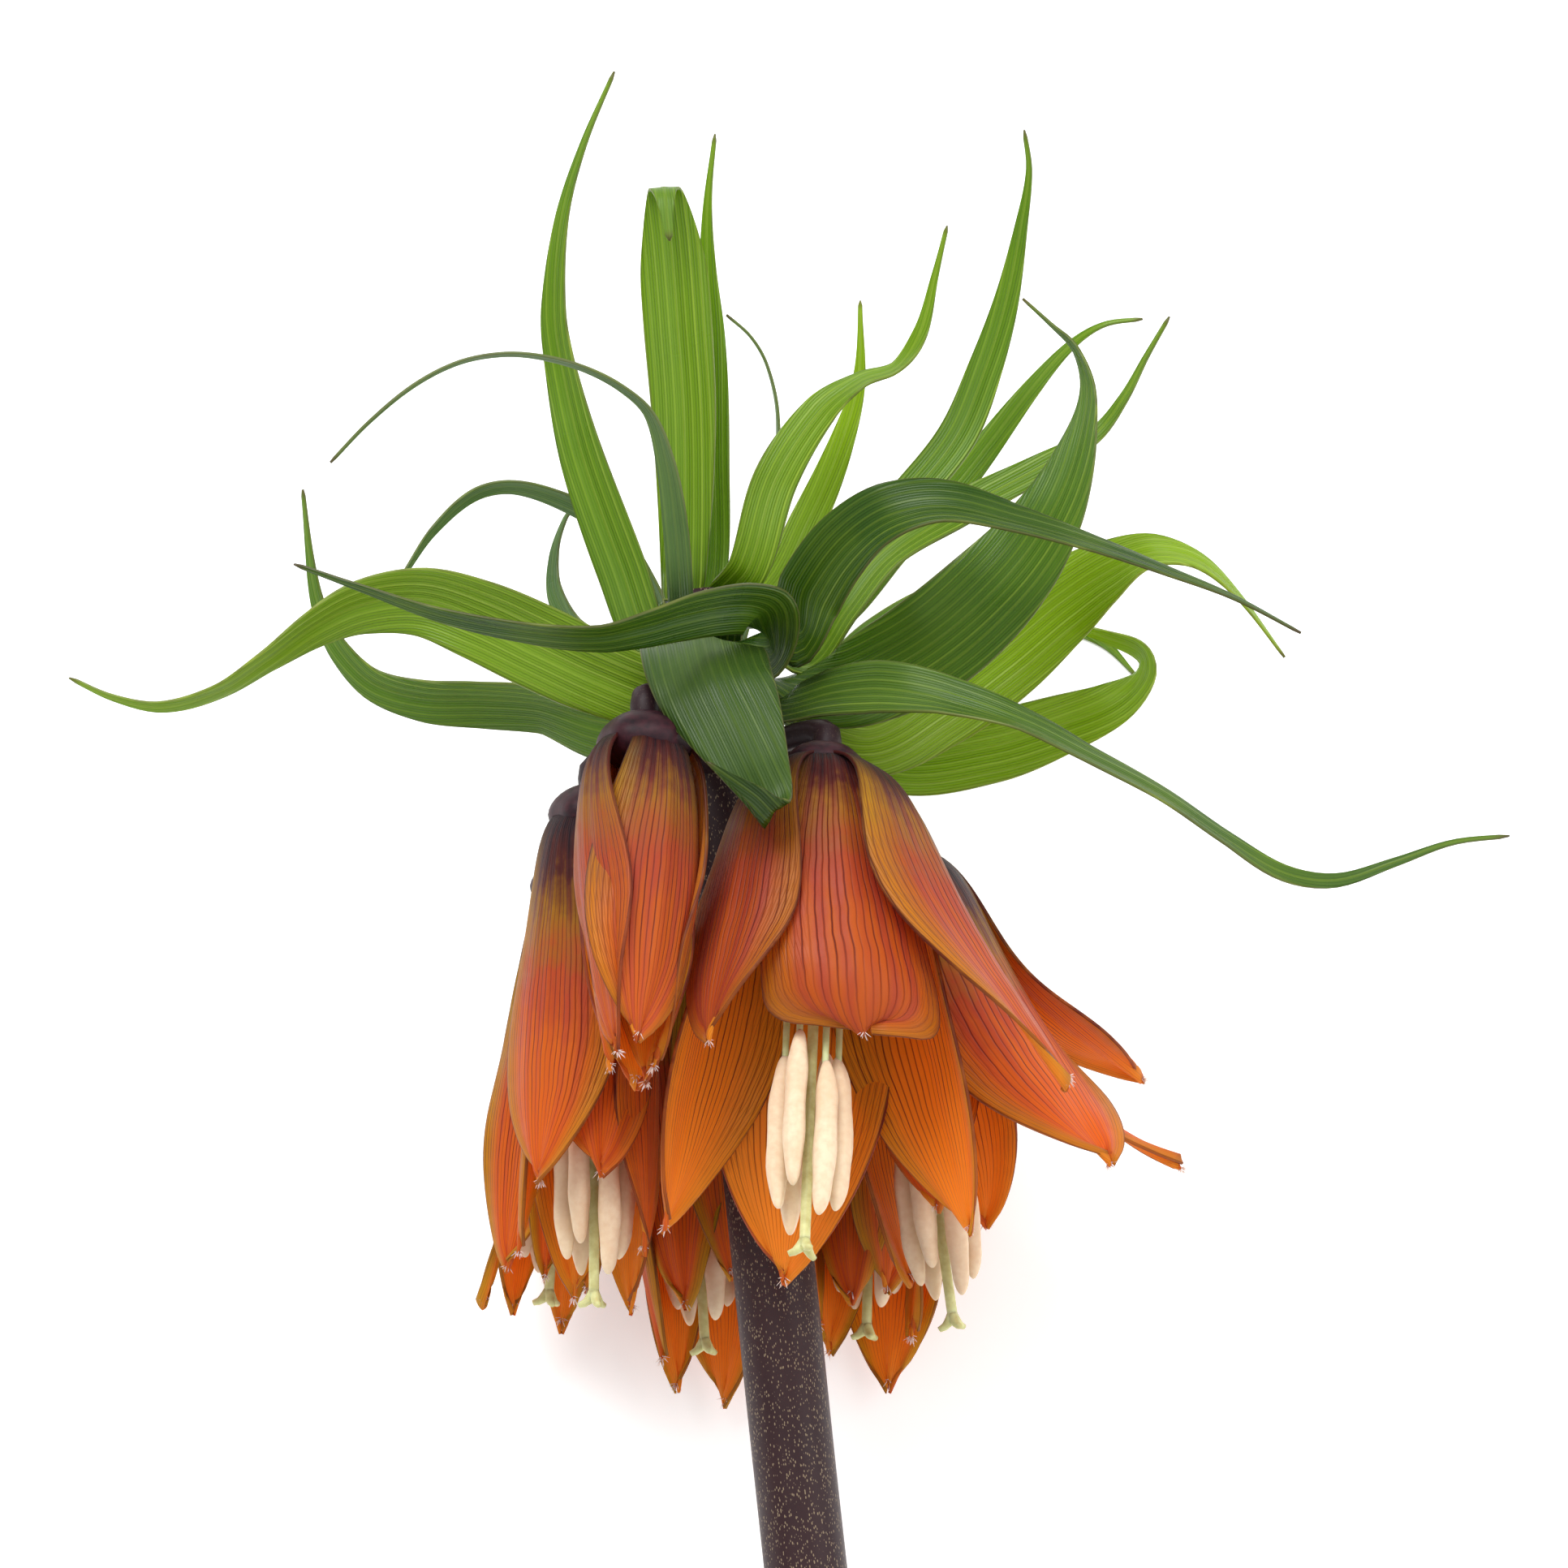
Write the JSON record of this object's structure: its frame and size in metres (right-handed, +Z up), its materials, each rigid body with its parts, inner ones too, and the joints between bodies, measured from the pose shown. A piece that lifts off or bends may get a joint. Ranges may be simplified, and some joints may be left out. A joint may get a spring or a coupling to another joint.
{
  "type": "crown imperial flower stem",
  "caption": "Cut crown imperial fritillary: a speckled stem with a ring of hanging orange bells under a tuft of long curving leaves, lying on a surface.",
  "frame": {"origin": "centre of the whole flower's bounding box in X and Y, at the height of the surface it lies on", "axes": "+Y runs along the stem from its cut end to the crown of leaves, +X to the right as seen from above with the crown up, +Z up from the surface"},
  "size_m": [0.1758, 0.2612, 0.098],
  "materials": {
    "stem": "matte, dark purple brown with pale flecks",
    "leaf": "waxy green leaf, slightly glossy",
    "petal": "soft, thin orange petal with dark veins",
    "stamen": "powdery cream"
  },
  "bodies": {
    "root": {"bell_back_left": "petal", "bell_back_right": "petal", "bell_far_left": "petal", "bell_front": "petal", "bell_front_left": "petal", "bell_left": "petal", "bell_right": "petal", "leaf_arch_right": "leaf", "leaf_back_left": "leaf", "leaf_back_right": "leaf", "leaf_bright_right": "leaf", "leaf_curved_middle": "leaf", "leaf_front_droop": "leaf", "leaf_front_sweep": "leaf", "leaf_hook_left": "leaf", "leaf_long_right": "leaf", "leaf_loop_right": "leaf", "leaf_low_left": "leaf", "leaf_right_behind": "leaf", "leaf_short_left": "leaf", "leaf_short_upright": "leaf", "leaf_tall_left": "leaf", "leaf_tall_right": "leaf", "leaf_thin_arch": "leaf", "leaf_thin_curl": "leaf", "leaf_under_arch": "leaf", "leaf_upright_behind": "leaf", "leaf_upright_folded": "leaf", "leaf_wide_left": "leaf", "leaf_wide_right": "leaf", "stamens_back_left": "stamen", "stamens_back_right": "stamen", "stamens_far_left": "stamen", "stamens_front": "stamen", "stamens_front_left": "stamen", "stamens_left": "stamen", "stamens_right": "stamen", "stem": "stem"}
  },
  "joints": []
}
